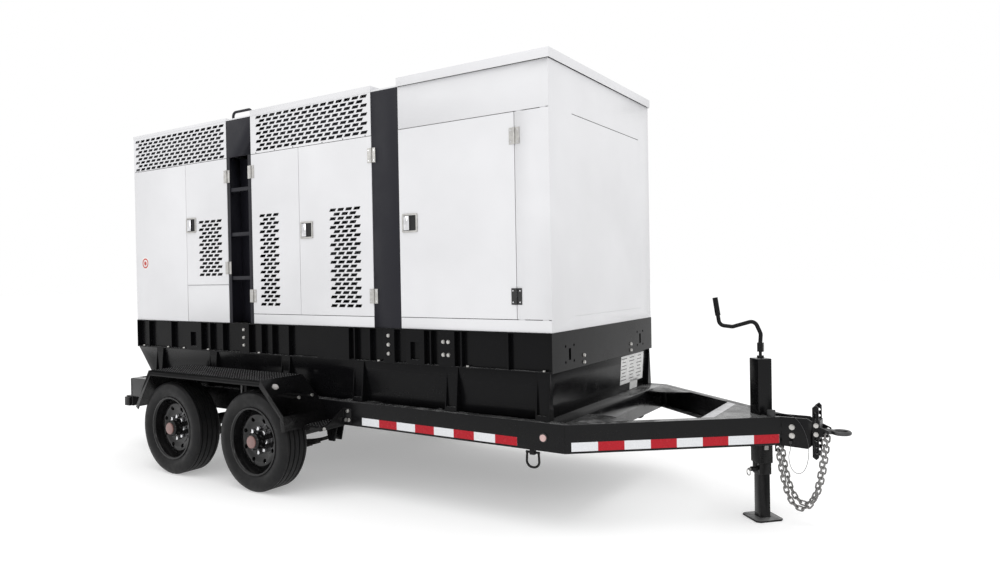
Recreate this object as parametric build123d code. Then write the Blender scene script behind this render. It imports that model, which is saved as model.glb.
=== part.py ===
from build123d import *
import os
from math import asin, asinh, atan2, cos, cosh, hypot, pi, radians, sin, sinh, tan

# Towable diesel generator set: sound-proofed enclosure and fuel tank on a tandem-axle trailer.
# Millimetres.  +X points forward (towards the tow vehicle), +Y to the trailer's left, +Z up.
# The origin is on the ground, on the centreline, half way between the rear bumper and the
# towing eye.  Nearly everything is made for the right side (-Y) and mirrored to the left.

INCH = 25.4

# ---------------------------------------------------------------- driving dimensions
enclosure_front_x = 1395.0      # front face of the enclosure; stations are measured back from it
enclosure_length = 4132.0
enclosure_half_width = 785.0
enclosure_floor_z = 1125.0
side_roof_z = 2705.0            # top of the side walls
rear_cap_top_z = 2728.0
middle_cap_top_z = 2749.0
lid_top_z = 2761.0              # the front module's overhanging lid
lid_overhang = 12.0
lid_bottom_z = 2703.0
sheet = 3.0                     # enclosure sheet thickness

black_pillar = (1119.0, 1353.0)     # stations of the modules' joints
ladder_pillar = (2581.0, 2869.0)
ladder_recess = 120.0
ladder_flange = 34.0
ladder_top_z = 2416.0
rung_heights = (1475.0, 1815.0, 2162.0)

door_gap = 4.0
tray_depth = 28.0               # folded edge of a door
sill_top_z = 1199.0
seam_z = 2414.0                 # top of the side doors
front_seam_z = 2425.0           # top of the front door
front_corner = 231.0            # station of the front door's hinge edge
rear_door_split = 3399.0        # station of the rear door's latch edge
rear_door_bottom_z = 1423.0
middle_split = 2060.0           # station where the two middle doors meet
latch_z = 1811.0
rear_latch_z = 1912.0

slot_length = 70.0              # one slanted air slot
slot_height = 21.0
slot_slant = 12.0
slot_pitch = 76.4
slot_row_pitch = 30.4

hinge_r = 6.0
hinge_leaf = 30.0
hinge_height = 98.0
hinge_clearance = 0.5

band_half_width = 791.0         # skid base channel under the enclosure
band_bottom_z = 892.0
band_flange = 7.0
band_web_depth = 34.0           # how far the web is set back from the flange edges
tank_top_half_width = 781.0
tank_bottom_half_width = 748.0
tank_front_stations = (28.0, 46.0)      # top, bottom
tank_rear_stations = (4124.0, 3947.0)
tank_wall = 5.0

rail_top_z = 618.0
rail_height = 165.0
rail_flange = 60.0
rail_wall = 6.35
rail_half_width = 838.0         # outer faces of the side rails
rail_rear_x = enclosure_front_x - 4150.0
bend_x = enclosure_front_x + 99.0
apex_x = enclosure_front_x + 1161.0     # where the tongue rails' outer faces would meet
cross_tube = 80.0

plate_half_gap = 38.0           # coupler side plates
plate_outer_y = 50.0
nose_x = enclosure_front_x + 1262.0
chain_y = 55.0
chain_start = (enclosure_front_x + 1076.0, 435.0)   # centre of the first link's end
chain_end = (enclosure_front_x + 1330.0, 545.0)
link_wire_r = 4.75              # 3/8 inch safety chain
link_inner_length = 31.6
link_inner_width = 14.4
link_gap = 0.3                  # between the wires of two links
link_count = 27
hole_above_link = 3.2           # a chain hole's centre above the link end hanging in it

eye_x = enclosure_front_x + 1405.0
eye_z = 548.0
eye_bore_r = 1.25 * INCH
eye_section_r = 11.2
eye_land = 8.0

jack_x = enclosure_front_x + 972.0
jack_tube = 3.5 * INCH
ram_tube = 3.0 * INCH
drop_leg = 2.5 * INCH
jack_top_z = 940.0
jack_bottom_z = 330.0
screw_r = 9.0
foot_size = 7.0 * INCH
foot_thickness = 10.0

tyre_radius = 346.0
tyre_width = 215.0
tyre_middle_y = 1082.5
rim_seat_r = 222.0              # 17.5 inch rim
rim_flange_r = 235.0
rim_half_width = 92.0
bolt_circle_r = 6.5 * INCH / 2
hub_bore_r = 30.0
axle_stations = (2140.0, 3075.0)
axle_tube_r = 44.0
spindle_r = 28.0
spring_y = 802.0
spring_width = 51.0
leaf_thickness = 12.0
eye_rise = 78.0

fender_profile = ((3466, 484), (3286, 778), (1999, 778), (1778, 561), (1764, 459))
fender_inner_y = 839.0
fender_outer_y = 1212.0
fender_sheet = 4.0
fender_lip = 38.0

tape_length = 48 * INCH
tape_width = 2 * INCH
tape_bottom_z = 467.0
tape_thickness = 0.6

cable_y = 64.0
cable_r = 1.6


# ---------------------------------------------------------------- helpers
def back(station):
    """X of a station measured back from the enclosure's front face."""
    return enclosure_front_x - station


def block(x, y, z):
    """Box between the given pairs of limits, in any order."""
    size = [abs(pair[1] - pair[0]) for pair in (x, y, z)]
    middle = [(pair[0] + pair[1]) / 2 for pair in (x, y, z)]
    return Pos(*middle) * Box(*size)


def rod(start, end, radius):
    """Round bar between two points."""
    start, end = Vector(*start), Vector(*end)
    plane = Plane(origin=start, z_dir=end - start)
    return extrude(plane * Circle(radius), amount=(end - start).length)


def side_plate(points, y):
    """Plate whose outline lies in the XZ plane, between two Y values."""
    face = make_face(Polyline(*[(px, 0, pz) for px, pz in points], close=True))
    return Pos(0, min(y), 0) * extrude(face, amount=abs(y[1] - y[0]), dir=(0, 1, 0))


def cross_plate(points, x):
    """Plate whose outline lies in the YZ plane, between two X values."""
    face = make_face(Polyline(*[(0, py, pz) for py, pz in points], close=True))
    return Pos(min(x), 0, 0) * extrude(face, amount=abs(x[1] - x[0]), dir=(1, 0, 0))


def deck_plate(points, z):
    """Plate whose outline lies in plan, between two Z values."""
    face = make_face(Polyline(*[(px, py, 0) for px, py in points], close=True))
    return Pos(0, 0, min(z)) * extrude(face, amount=abs(z[1] - z[0]), dir=(0, 0, 1))


def square_tube(x, size, wall, z):
    """Upright square tube turned 45 degrees, on the centreline."""
    section = Rectangle(size, size) - Rectangle(size - 2 * wall, size - 2 * wall)
    return Pos(x, 0, min(z)) * Rot(0, 0, 45) * extrude(section, amount=abs(z[1] - z[0]))


def swept_bar(points, radius, bends):
    """Round bar along straight runs joined by bends."""
    path = FilletPolyline(*points, radius=bends)
    start = Plane(origin=path @ 0, z_dir=path % 0)
    return sweep(start * Circle(radius), path=path)


def mirrored(solids):
    """The same solids on the other side of the centreline."""
    return [mirror(solid, about=Plane.XZ) for solid in solids]


def both(solids):
    """The solids of the right side together with their mirror images."""
    return [*solids, *mirrored(solids)]


def hex_head(position, direction, across_flats=24.0, height=9.0):
    """Bolt head on its washer, standing on a face and pointing out along direction."""
    washer_thickness = 2.5
    plane = Plane(origin=position, z_dir=direction)
    washer = extrude(plane * Circle(across_flats * 0.62), amount=washer_thickness)
    raised = plane.offset(washer_thickness)
    head = extrude(raised * RegularPolygon(across_flats / 2, 6, major_radius=False), amount=height)
    return washer + head


def save(name, solids):
    """Writes one node as a STEP file."""
    pieces = [solid for shape in solids for solid in shape.solids()]
    node = Compound(children=pieces) if len(pieces) > 1 else pieces[0]
    node.label = name
    export_step(node, f"parts/{name}.step")


os.makedirs("parts", exist_ok=True)
enclosure_rear_x = back(enclosure_length)
rail_bottom_z = rail_top_z - rail_height
tongue_angle = atan2(rail_half_width, apex_x - bend_x)
outward = (0, -1, 0)            # away from the right side
bolts = []                      # every hex bolt head of the right side's fixed structure


# ---------------------------------------------------------------- trailer frame
def rail_face(plane):
    """Channel section: web on the plane's left edge, flanges towards its +X."""
    middle_z = rail_top_z - rail_height / 2
    outline = Pos(rail_flange / 2, middle_z) * Rectangle(rail_flange, rail_height)
    outline = fillet(outline.vertices().sort_by(Axis.X)[:2], 7.0)
    hollow = Pos(rail_flange / 2 + rail_wall, middle_z) * Rectangle(rail_flange, rail_height - 2 * rail_wall)
    return plane * (outline - hollow)


def beyond_bend(ahead):
    """Large box on one side of the upright plane that halves the right rail's bend."""
    normal = Vector(cos(tongue_angle / 2), sin(tongue_angle / 2), 0)
    plane = Plane(origin=(bend_x, -rail_half_width, rail_top_z), z_dir=normal if ahead else -normal)
    return plane * Box(3000, 3000, 3000, align=(Align.CENTER, Align.CENTER, Align.MIN))


def inner_edge_y(x):
    """Distance from the centreline to the tongue rail's inner flange edge."""
    inner_bend_x = bend_x - rail_flange * tan(tongue_angle / 2)
    return rail_half_width - rail_flange - max(x - inner_bend_x, 0) * tan(tongue_angle)


rail_overrun = 400.0            # length past the bend that the mitre then trims
side_plane = Plane(origin=(rail_rear_x, -rail_half_width, 0), x_dir=(0, 1, 0), z_dir=(1, 0, 0))
side_rail = extrude(rail_face(side_plane), amount=bend_x + rail_overrun - rail_rear_x)
side_rail -= beyond_bend(ahead=True)
save("side_rails", both([side_rail]))

tongue_direction = Vector(cos(tongue_angle), sin(tongue_angle), 0)
tongue_start = Vector(bend_x, -rail_half_width, 0) - tongue_direction * rail_overrun
tongue_plane = Plane(
    origin=tongue_start, x_dir=(-tongue_direction.Y, tongue_direction.X, 0), z_dir=tongue_direction
)
tongue_run = hypot(rail_half_width, apex_x - bend_x)
tongue_rail = extrude(rail_face(tongue_plane), amount=2 * rail_overrun + tongue_run)
tongue_rail -= beyond_bend(ahead=False)
tongue_rail -= block((0, 5000), (-plate_outer_y, 3000), (0, 2000))
save("tongue_rails", both([tongue_rail]))


def cross_member(x):
    """Rectangular tube between the side rails, from one rear face position."""
    reach = rail_half_width - rail_flange
    wall = 6.0
    shell = block((x, x + cross_tube), (-reach, reach), (rail_bottom_z, rail_top_z))
    inside = block(
        (x + wall, x + cross_tube - wall), (-reach, reach), (rail_bottom_z + wall, rail_top_z - wall)
    )
    return shell - inside


front_member_x = bend_x - 101.0
deck_rear_x = enclosure_front_x + 762.0
deck_front_x = enclosure_front_x + 1000.0
bar_rear_x = enclosure_front_x + 700.0
cross_members = [cross_member(front_member_x), cross_member(rail_rear_x)]
tube_stations = (3400, 2600, 1700, 900)
cross_members += [cross_member(back(station)) for station in tube_stations]

tube_xs = [rail_rear_x, *[back(station) for station in tube_stations], front_member_x]
deck_y = rail_half_width - rail_flange
for rear_tube_x, front_tube_x in zip(tube_xs, tube_xs[1:]):
    deck_x = (rear_tube_x + cross_tube, front_tube_x)
    cross_members.append(block(deck_x, (-deck_y, deck_y), (rail_top_z - sheet, rail_top_z)))

gusset_rear_x = front_member_x + cross_tube
gusset = deck_plate(
    [
        (gusset_rear_x, -inner_edge_y(gusset_rear_x)),
        (gusset_rear_x, -470),
        (gusset_rear_x + 150, -480),
        (gusset_rear_x + 290, -inner_edge_y(gusset_rear_x + 290)),
    ],
    (rail_top_z - rail_wall, rail_top_z),
)
cross_members += both([gusset])

tongue_bar = deck_plate(
    [
        (bar_rear_x, -inner_edge_y(bar_rear_x)),
        (deck_rear_x, -inner_edge_y(deck_rear_x)),
        (deck_rear_x, inner_edge_y(deck_rear_x)),
        (bar_rear_x, inner_edge_y(bar_rear_x)),
    ],
    (rail_top_z - 12, rail_top_z),
)
bar_leg_y = inner_edge_y(bar_rear_x + 8)
tongue_bar += block((bar_rear_x, bar_rear_x + 8), (-bar_leg_y, bar_leg_y), (rail_top_z - 70, rail_top_z))
cross_members.append(tongue_bar)

deck_outline = [
    (deck_rear_x, -inner_edge_y(deck_rear_x)),
    (deck_front_x, -plate_outer_y),
    (deck_front_x, plate_outer_y),
    (deck_rear_x, inner_edge_y(deck_rear_x)),
]
tube_hole = square_tube(jack_x, jack_tube + 0.2, jack_tube / 2, (0, 1000))
tube_hole += Pos(jack_x, 0, 500) * Rot(0, 0, 45) * Box(jack_tube / 2, jack_tube / 2, 1000)
for bottom in (rail_bottom_z, rail_top_z - 8):
    cross_members.append(deck_plate(deck_outline, (bottom, bottom + 8)) - tube_hole)
save("cross_members", cross_members)

bumper_top_z = 447.0
bumper = block((back(4250), back(4176)), (-850, 850), (372, bumper_top_z))
hanger = block((back(4176), rail_rear_x), (-834, -770), (372, 612))
hanger += block((back(4250), back(4176)), (-834, -770), (bumper_top_z, bumper_top_z + 10))
save("rear_bumper", [bumper, *both([hanger])])


# ---------------------------------------------------------------- coupler, chains and breakaway cable
def chain_hole(x, z):
    """Hole that a chain's end link hangs in, the link's end being centred at x, z."""
    hole_z = z + hole_above_link
    return rod((x, -80, hole_z), (x, -30, hole_z), 2 * link_wire_r + 0.8)


plate_rear_x = enclosure_front_x + 1000.0
cheek = side_plate(
    [
        (plate_rear_x, 455),
        (enclosure_front_x + 1235, 446),
        (nose_x, 470),
        (nose_x, 600),
        (enclosure_front_x + 1235, rail_top_z),
        (plate_rear_x, rail_top_z),
    ],
    (-plate_outer_y, -plate_half_gap),
)
nose = block((enclosure_front_x + 1170, nose_x), (-plate_half_gap, plate_half_gap), (478, 592))
chain_lug = block((chain_start[0] - 16, chain_start[0] + 12), (-60, -plate_outer_y), (415, rail_bottom_z))
chain_lug -= chain_hole(*chain_start)
save("coupler_plates", [nose, *both([cheek, chain_lug])])
for bolt_z in (514, 563):
    bolts.append(hex_head((enclosure_front_x + 1152, -plate_outer_y, bolt_z), outward, 26))

channel_web_x = nose_x + 10.0
cheek_outline = [
    (nose_x, 405), (nose_x + 20, 391), (nose_x + 34, 405), (nose_x + 34, 524), (chain_end[0] + 8, 524),
    (chain_end[0] + 16, 532), (chain_end[0] + 16, 560), (nose_x + 34, 582), (nose_x + 34, 685),
    (nose_x + 20, 700), (nose_x, 685),
]
hitch_cheek = side_plate(cheek_outline, (-60, -plate_outer_y))
hitch_cheek -= chain_hole(*chain_end)
for hole_z in (430, 465, 500, 625, 660):
    hitch_cheek -= rod((nose_x + 21, -80, hole_z), (nose_x + 21, -30, hole_z), 7.0)
hitch_web = block((nose_x, channel_web_x), (-plate_outer_y, plate_outer_y), (405, 685))
save("hitch_channel", [hitch_web + hitch_cheek + mirror(hitch_cheek, about=Plane.XZ)])
for bolt_z in (536, 586):
    bolts.append(hex_head((nose_x + 20, -60, bolt_z), outward, 22))

eye_ring_r = eye_bore_r + (eye_section_r**2 - (eye_land / 2) ** 2) ** 0.5
eye_section = Plane.XZ * (Pos(eye_ring_r, 0) * Circle(eye_section_r) - Rectangle(2 * eye_bore_r, 60))
eye_ring = Pos(eye_x, 0, eye_z) * revolve(eye_section, Axis.Z)
eye_neck_end = eye_x - eye_bore_r - 9
eye_neck = deck_plate(
    [(nose_x + 40, -40), (eye_neck_end, -17), (eye_neck_end, 17), (nose_x + 40, 40)], (eye_z - 11, eye_z + 11)
)
eye_base = block((channel_web_x, nose_x + 40), (-49.7, 49.7), (508, 612))
save("towing_eye", [eye_base + eye_neck + eye_ring])


def hang(sag):
    """Points where the links' ends turn, from the chain's start along a catenary of the given sag.

    The links that lie flat carry their own wire centres as turning points, so the upright
    links between them span a shorter step.
    """
    (x0, z0), (x1, z1) = chain_start, chain_end
    span, rise = x1 - x0, z1 - z0
    lowest_x = (x0 + x1) / 2 - sag * asinh(rise / (2 * sag * sinh(span / (2 * sag))))
    flat_step = link_inner_length + 2 * link_wire_r
    upright_step = link_inner_length - 2 * (link_wire_r + link_gap)
    points = [Vector(x0, 0, z0)]
    for number in range(link_count):
        step = flat_step if number % 2 == 0 else upright_step
        low, high = points[-1].X, points[-1].X + step
        for _ in range(50):
            x = (low + high) / 2
            height = z0 + sag * (cosh((x - lowest_x) / sag) - cosh((x0 - lowest_x) / sag))
            point = Vector(x, 0, height)
            if (point - points[-1]).length < step:
                low = x
            else:
                high = x
        points.append(point)
    return points


def chain_points():
    """The turning points of a chain that ends exactly at its front hole."""
    low, high = 20.0, 120.0
    for _ in range(50):
        sag = (low + high) / 2
        if hang(sag)[-1].X < chain_end[0]:
            low = sag
        else:
            high = sag
    return hang(sag)


def chain_link():
    """One welded link, long axis on X, lying in the XY plane."""
    straight = link_inner_length - link_inner_width
    bight_r = link_inner_width / 2 + link_wire_r
    bars = [rod((-straight / 2, y, 0), (straight / 2, y, 0), link_wire_r) for y in (-bight_r, bight_r)]
    section = Plane.XZ * Pos(bight_r, 0) * Circle(link_wire_r)
    bight = revolve(section, Axis.Z, revolution_arc=180)
    front_end = Pos(straight / 2, 0, 0) * Rot(0, 0, -90) * bight
    rear_end = Pos(-straight / 2, 0, 0) * Rot(0, 0, 90) * bight
    return bars[0] + bars[1] + front_end + rear_end


link = chain_link()
turns = chain_points()
across = Vector(0, 1, 0)
chain = []
for number in range(link_count):
    along = turns[number + 1] - turns[number]
    middle = (turns[number] + turns[number + 1]) / 2
    normal = along.cross(across) if number % 2 == 0 else across
    plane = Plane(origin=(middle.X, -chain_y, middle.Z), x_dir=along, z_dir=normal)
    chain.append(plane.location * link)
save("safety_chains", both(chain))

switch_front_x = enclosure_front_x + 1064.0
anchor = (enclosure_front_x + 1146.0, 470.0)
switch_box = block((switch_front_x - 44, switch_front_x), (-cable_y - 12, -cable_y + 12), (rail_top_z, 656))
anchor_eye = block((anchor[0] - 9, anchor[0] + 9), (-cable_y - 6, -plate_outer_y), (anchor[1], anchor[1] + 16))
save("breakaway_switch", [switch_box, anchor_eye])

cable_route = [
    (0, 640), (46, 640), (90, 634), (127, 606), (153, 562), (171, 512), (180, 459), (178, 405), (168, 352),
    (147, 312), (115, 300), (87, 322), (74, 362), (71, 404), (82, 436), (82, 470),
]
cable_points = [Vector(switch_front_x + dx, -cable_y, z) for dx, z in cable_route]


def cable_radii(points):
    """Bend radius at each inner point: as large as its two runs allow."""
    radii = []
    for before, here, after in zip(points, points[1:], points[2:]):
        first, second = here - before, after - here
        half_turn = radians(first.get_angle(second)) / 2
        radii.append(0.45 * min(first.length, second.length) / tan(half_turn))
    return radii


radii = cable_radii(cable_points)
print("breakaway cable bend radii:", [round(radius) for radius in radii])
cable = swept_bar(cable_points, cable_r, radii)
cable_path_length = FilletPolyline(*cable_points, radius=radii).length
print("breakaway cable length:", round(cable_path_length), "volume ratio:",
      round(cable.volume / (cable_path_length * pi * cable_r**2), 4))
save("breakaway_cable", [cable])


# ---------------------------------------------------------------- tongue jack
outer_tube = square_tube(jack_x, jack_tube, 6.0, (jack_bottom_z, jack_top_z))
cap = Pos(jack_x, 0, jack_top_z) * Rot(0, 0, 45) * Box(
    jack_tube, jack_tube, 6, align=(Align.CENTER, Align.CENTER, Align.MIN)
)
cap -= rod((jack_x, 0, jack_top_z - 1), (jack_x, 0, jack_top_z + 10), screw_r + 0.5)
save("jack_outer_tube", [outer_tube + cap])

ram_bottom_z, ram_top_z = 262.0, 700.0
face_direction = Vector(-1, -1, 0).normalized()
pin_z = 294.0
pin_start = Vector(jack_x, 0, pin_z) + face_direction * (ram_tube / 2)
ram = square_tube(jack_x, ram_tube, 6.0, (ram_bottom_z, ram_top_z))
nut_block = Pos(jack_x, 0, ram_top_z - 12) * Rot(0, 0, 45) * Box(
    ram_tube, ram_tube, 12, align=(Align.CENTER, Align.CENTER, Align.MIN)
)
ram += nut_block - rod((jack_x, 0, 600), (jack_x, 0, 800), screw_r + 0.5)
pin_r = 7.0
housing_end = pin_start + face_direction * 36
ram += rod(tuple(pin_start), tuple(housing_end), 14.0)
ram -= rod(tuple(pin_start - face_direction * 8), tuple(housing_end + face_direction), pin_r + 0.3)
save("jack_ram", [ram])

leg = square_tube(jack_x, drop_leg, 5.0, (foot_thickness, 440))
foot = Pos(jack_x, 0, 0) * Rot(0, 0, 45) * Box(
    foot_size, foot_size, foot_thickness, align=(Align.CENTER, Align.CENTER, Align.MIN)
)
foot = chamfer(foot.edges().filter_by(Axis.Z), 18)
save("jack_drop_leg", [leg + foot])

pin_outer = housing_end + face_direction * 14
pin = rod(tuple(pin_start - face_direction * 5.5), tuple(pin_outer), pin_r)
ring_centre = pin_outer + Vector(0, 0, -18)
pull_ring = Plane(origin=ring_centre, z_dir=face_direction).location * Torus(18, 3)
save("jack_pull_pin", [pin + pull_ring])

crank_points = [
    (0, 1030), (4, 1090), (-30, 1168), (-160, 1128), (-238, 1136), (-262, 1300),
]
crank_joint_z = 1010.0
screw = rod((jack_x, 0, 370), (jack_x, 0, crank_joint_z - 15), screw_r)
collar = rod((jack_x, 0, jack_top_z + 6.5), (jack_x, 0, jack_top_z + 22), 20)
fork = block((jack_x - 15, jack_x + 19), (-15, 15), (crank_joint_z - 25, crank_joint_z + 28))
fork_pin = rod((jack_x, -21, crank_joint_z + 4), (jack_x, 21, crank_joint_z + 4), 6)
handle = swept_bar([Vector(jack_x + dx, 0, z) for dx, z in crank_points], 12.0, 36.0)
grip_start, grip_end = crank_points[-2], crank_points[-1]
grip_share = 0.18               # part of the last run that stays bare
grip = rod(
    (jack_x + grip_start[0] + (grip_end[0] - grip_start[0]) * grip_share * 2, 0,
     grip_start[1] + (grip_end[1] - grip_start[1]) * grip_share * 2),
    (jack_x + grip_end[0] - 1, 0, grip_end[1] + 4), 16.0,
)
save("jack_crank", [screw + collar + fork + fork_pin + handle + grip])


# ---------------------------------------------------------------- tie-down rings, lights and tape
ring_x, ring_y, ring_pivot_z = back(122), 816.0, 436.0
ring_path = FilletPolyline(
    (ring_x - 38, -ring_y, ring_pivot_z), (ring_x - 44, -ring_y, ring_pivot_z - 87),
    (ring_x + 44, -ring_y, ring_pivot_z - 87), (ring_x + 38, -ring_y, ring_pivot_z), radius=36,
)
ring_start = Plane(origin=ring_path @ 0, z_dir=ring_path % 0)
tie_ring = sweep(ring_start * Circle(7), path=ring_path)
tie_ring += rod((ring_x - 45, -ring_y, ring_pivot_z), (ring_x + 45, -ring_y, ring_pivot_z), 7)
save("tie_down_ring_right", [tie_ring])
save("tie_down_ring_left", mirrored([tie_ring]))
saddle = block((ring_x - 16, ring_x + 16), (-ring_y - 13, -ring_y + 13), (ring_pivot_z - 13, rail_bottom_z))
saddle -= rod((ring_x - 20, -ring_y, ring_pivot_z), (ring_x + 20, -ring_y, ring_pivot_z), 7.35)
save("tie_down_brackets", both([saddle]))

slope_start, slope_end = fender_profile[2], fender_profile[3]
slope_direction = Vector(slope_start[0] - slope_end[0], 0, slope_end[1] - slope_start[1]).normalized()
slope_normal = Vector(-slope_direction.Z, 0, slope_direction.X)
slope_spot = Vector(back(slope_start[0]), -1130, slope_start[1]) + slope_direction * 70


def lamp(position, direction, radius=26.0):
    """Round marker lamp: bezel with a domed lens."""
    plane = Plane(origin=position, z_dir=direction)
    return extrude(plane * Circle(radius), amount=9) + extrude(plane * Circle(radius - 6), amount=15)


tail_lamp = block((rail_rear_x - 42, rail_rear_x), (-766, -690), (545, 612))
rail_lamp = lamp((back(35), -rail_half_width, 534), outward)
fender_lamp = lamp(tuple(slope_spot), tuple(slope_normal), 22.0)
save("marker_lights", both([rail_lamp, fender_lamp, tail_lamp]))

tape_z = (tape_bottom_z, tape_bottom_z + tape_width)
tape_skin_y = (-rail_half_width - tape_thickness, -rail_half_width)
side_tape = block((back(1434), back(1434) + tape_length), tape_skin_y, tape_z)
tongue_tape_start = Vector(bend_x, -rail_half_width, 0) + tongue_direction * 36
tongue_tape_plane = Plane(
    origin=tongue_tape_start, x_dir=tongue_direction, z_dir=(tongue_direction.Y, -tongue_direction.X, 0)
)
tongue_tape_middle = Pos(tape_length / 2, tape_bottom_z + tape_width / 2)
tongue_tape = extrude(
    tongue_tape_plane * tongue_tape_middle * Rectangle(tape_length, tape_width), amount=tape_thickness
)
save("reflective_tape", both([side_tape, tongue_tape]))


# ---------------------------------------------------------------- axles, springs and wheels
def leaf(x, number):
    """One leaf of a spring pack; the leaves are concentric arcs that grow shorter downwards."""
    half_length = main_half_length * (1 - 0.2 * number)
    half_angle = asin(half_length / leaf_arc_r)
    centre_z = leaf_top_z + leaf_arc_r
    arcs = []
    for radius in (leaf_arc_r + number * leaf_thickness, leaf_arc_r + (number + 1) * leaf_thickness):
        ends = [(x + side * radius * sin(half_angle), 0, centre_z - radius * cos(half_angle)) for side in (-1, 1)]
        arcs.append(ThreePointArc(ends[0], (x, 0, centre_z - radius), ends[1]))
    sides = [Line(arcs[0] @ 0, arcs[1] @ 0), Line(arcs[0] @ 1, arcs[1] @ 1)]
    solid = extrude(make_face([*arcs, *sides]), amount=spring_width, dir=(0, 1, 0))
    return Pos(0, -spring_y - spring_width / 2, 0) * solid


axle_height = tyre_radius
pad_height = 8.0
leaf_top_z = axle_height - axle_tube_r - pad_height
main_half_length = 395.0
leaf_arc_r = (main_half_length**2 + eye_rise**2) / (2 * eye_rise)
leaves, hangers, axles = [], [], []
for station in axle_stations:
    x = back(station)
    pack = [leaf(x, number) for number in range(4)]
    clamp_z = leaf_top_z - 4 * leaf_thickness
    clamp = block((x - 60, x + 60), (-spring_y - 34, -spring_y + 34), (clamp_z - 12, clamp_z + 4))
    leaves += [*pack, clamp - pack[-1]]
    tube = rod((x, -930, axle_height), (x, 930, axle_height), axle_tube_r)
    spindles = rod((x, -1170, axle_height), (x, 1170, axle_height), spindle_r)
    pads = [
        block((x - 55, x + 55), (side * spring_y - 26, side * spring_y + 26), (leaf_top_z, axle_height))
        for side in (-1, 1)
    ]
    axles.append(tube + spindles + pads[0] + pads[1] - both(pack[:1]))
save("leaf_springs", both(leaves))
save("axles", axles)

hanger_stations = (axle_stations[0] - main_half_length - 20, sum(axle_stations) / 2,
                   axle_stations[1] + main_half_length + 20)
hanger_eye_z = leaf_top_z + eye_rise - 4
for station in hanger_stations:
    x = back(station)
    outline = [(x - 60, rail_bottom_z), (x - 30, 330), (x + 30, 330), (x + 60, rail_bottom_z)]
    hanger_pin = rod((x, -spring_y - 34, 352), (x, -spring_y + 34, 352), 12)
    cheeks = [
        side_plate(outline, (y, y + 8))
        for y in (-spring_y - spring_width / 2 - 10, -spring_y + spring_width / 2 + 2)
    ]
    hangers.append(cheeks[0] + cheeks[1] + hanger_pin)
save("spring_hangers", both(hangers))


def tyre_solid():
    """Ribbed radial tyre about the Y axis, centred on the origin."""
    half = tyre_width / 2
    crown = tyre_radius
    groove, groove_depth = 9.0, 9.0
    tread = []
    for middle in (-60, -20, 20, 60):
        tread += [
            (crown, middle - groove / 2), (crown - groove_depth, middle - groove / 2 + 1.5),
            (crown - groove_depth, middle + groove / 2 - 1.5), (crown, middle + groove / 2),
        ]
    shoulder, belly, bead = half - 22, (292.0, half), (rim_flange_r + 4, rim_half_width - 4)
    left = Line((rim_seat_r, -80), (bead[0], -bead[1]))
    left_wall = ThreePointArc((bead[0], -bead[1]), (belly[0], -belly[1]), (crown - 12, -shoulder - 9))
    left_shoulder = Line((crown - 12, -shoulder - 9), (crown, -shoulder + 6))
    top = Polyline((crown, -shoulder + 6), *tread, (crown, shoulder - 6))
    right_shoulder = Line((crown, shoulder - 6), (crown - 12, shoulder + 9))
    right_wall = ThreePointArc((crown - 12, shoulder + 9), belly, (bead[0], bead[1]))
    right = Line(bead, (rim_seat_r, 80))
    inside = ThreePointArc((rim_seat_r, 80), (crown - 22, 0), (rim_seat_r, -80))
    face = make_face([left, left_wall, left_shoulder, top, right_shoulder, right_wall, right, inside])
    return revolve(face, Axis.Y)


def wheel_solids():
    """Steel rim, disc, hub and brake drum as one turning piece, with separate lug nuts.

    About the Y axis, centred on the origin, outer side towards -Y.
    """
    barrel_r, seat_r, flange_y = rim_seat_r - 8, rim_seat_r - 0.3, rim_half_width
    outline = [
        (rim_seat_r + 1, -flange_y), (rim_flange_r, -flange_y), (rim_flange_r, -flange_y + 5), (seat_r, -80),
        (seat_r, 80), (rim_flange_r, flange_y - 5), (rim_flange_r, flange_y), (rim_seat_r + 1, flange_y),
        (barrel_r, flange_y - 14), (barrel_r, -2), (198, -8), (176, -27), (150, -27), (118, -16),
        (hub_bore_r, -16), (hub_bore_r, -26), (118, -26), (150, -37), (178, -37), (202, -19),
        (barrel_r, -13), (barrel_r, -flange_y + 14),
    ]
    rim = revolve(make_face(Polyline(*outline, close=True)), Axis.Y)
    hub_outline = [
        (hub_bore_r, -26), (62, -26), (58, -84), (48, -96), (0.0, -98), (0.0, -94), (hub_bore_r, -94),
    ]
    hub = revolve(make_face(Polyline(*hub_outline, close=True)), Axis.Y)
    drum_outline = [(hub_bore_r, -16), (158, -16), (158, 70), (150, 70), (150, -6), (hub_bore_r, -6)]
    drum = revolve(make_face(Polyline(*drum_outline, close=True)), Axis.Y)
    window = rod((148, -60, 0), (148, 20, 0), 15)
    nuts = []
    for number in range(8):
        turn = Rot(0, 45 * number, 0)
        rim -= Rot(0, 22.5, 0) * turn * window
        nuts.append(turn * hex_head((bolt_circle_r, -26, 0), outward, 27, 16))
    return [rim + hub + drum, *nuts]


tyre = tyre_solid()
wheel = wheel_solids()
for station, row in zip(axle_stations, ("front", "rear")):
    centre = Pos(back(station), -tyre_middle_y, axle_height)
    right_tyre = centre * tyre
    right_wheel = [centre * solid for solid in wheel]
    save(f"tyre_{row}_right", [right_tyre])
    save(f"wheel_{row}_right", right_wheel)
    save(f"tyre_{row}_left", mirrored([right_tyre]))
    save(f"wheel_{row}_left", mirrored(right_wheel))


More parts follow.
